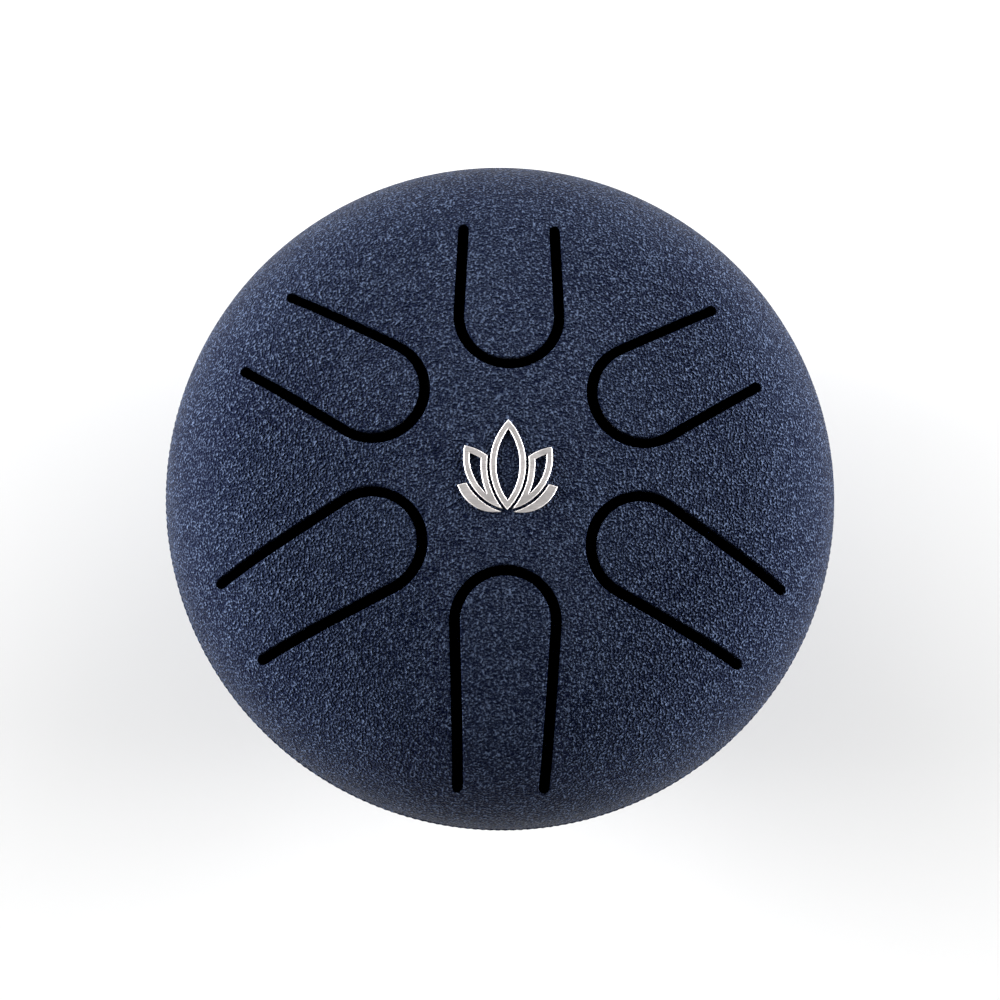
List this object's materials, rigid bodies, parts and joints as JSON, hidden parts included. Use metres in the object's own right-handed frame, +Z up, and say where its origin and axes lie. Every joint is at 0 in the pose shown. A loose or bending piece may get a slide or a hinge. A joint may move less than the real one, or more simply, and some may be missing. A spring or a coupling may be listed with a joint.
{
  "type": "steel tongue drum",
  "caption": "Small domed steel tongue drum with tuned tongues cut in its top, a sound port below and rubber feet, in a navy textured finish.",
  "frame": {"origin": "on the floor under the drum's axis, midway between the feet", "axes": "+Z up along the drum's axis; +Y from the player's side to the far side; the first tongue points 30 degrees from +X towards +Y, the others follow anticlockwise"},
  "size_m": [0.0803, 0.0802, 0.0432],
  "materials": {
    "powder_coat_navy": "fine wrinkle powder coat, semi-matt",
    "brushed_nickel": "brushed, with bright edges",
    "black_rubber": "moulded, matt",
    "zinc_steel": "bright zinc plate"
  },
  "bodies": {
    "drum": {"top_shell": "powder_coat_navy", "bottom_shell": "powder_coat_navy", "seam_weld": "powder_coat_navy", "centre_emblem": "brushed_nickel", "foot_1": "black_rubber", "foot_2": "black_rubber", "foot_3": "black_rubber", "foot_screw_1": "zinc_steel", "foot_screw_2": "zinc_steel", "foot_screw_3": "zinc_steel", "foot_washer_1": "zinc_steel", "foot_washer_2": "zinc_steel", "foot_washer_3": "zinc_steel", "foot_nut_1": "zinc_steel", "foot_nut_2": "zinc_steel", "foot_nut_3": "zinc_steel"},
    "tongue_1": {"tongue_1": "powder_coat_navy"},
    "tongue_2": {"tongue_2": "powder_coat_navy"},
    "tongue_3": {"tongue_3": "powder_coat_navy"},
    "tongue_4": {"tongue_4": "powder_coat_navy"},
    "tongue_5": {"tongue_5": "powder_coat_navy"},
    "tongue_6": {"tongue_6": "powder_coat_navy"}
  },
  "joints": [
    {"name": "tongue_1_flex", "type": "hinge", "parent": "drum", "child": "tongue_1", "pos_m": [0.02633, 0.0152, 0.03725], "axis": [-0.5, 0.866, 0], "range_deg": [-1.5, 1.5], "stiffness_Nm_per_rad": 13.6},
    {"name": "tongue_2_flex", "type": "hinge", "parent": "drum", "child": "tongue_2", "pos_m": [0, 0.0287, 0.03798], "axis": [-1, 0, 0], "range_deg": [-1.5, 1.5], "stiffness_Nm_per_rad": 15.2},
    {"name": "tongue_3_flex", "type": "hinge", "parent": "drum", "child": "tongue_3", "pos_m": [-0.02771, 0.016, 0.03633], "axis": [-0.5, -0.866, 0], "range_deg": [-1.5, 1.5], "stiffness_Nm_per_rad": 12.3},
    {"name": "tongue_4_flex", "type": "hinge", "parent": "drum", "child": "tongue_4", "pos_m": [-0.03005, -0.01735, 0.03412], "axis": [0.5, -0.866, 0], "range_deg": [-1.5, 1.5], "stiffness_Nm_per_rad": 10.4},
    {"name": "tongue_5_flex", "type": "hinge", "parent": "drum", "child": "tongue_5", "pos_m": [0, -0.0359, 0.03277], "axis": [1, 0, 0], "range_deg": [-1.5, 1.5], "stiffness_Nm_per_rad": 9.6},
    {"name": "tongue_6_flex", "type": "hinge", "parent": "drum", "child": "tongue_6", "pos_m": [0.02953, -0.01705, 0.0347], "axis": [0.5, 0.866, 0], "range_deg": [-1.5, 1.5], "stiffness_Nm_per_rad": 10.8}
  ]
}
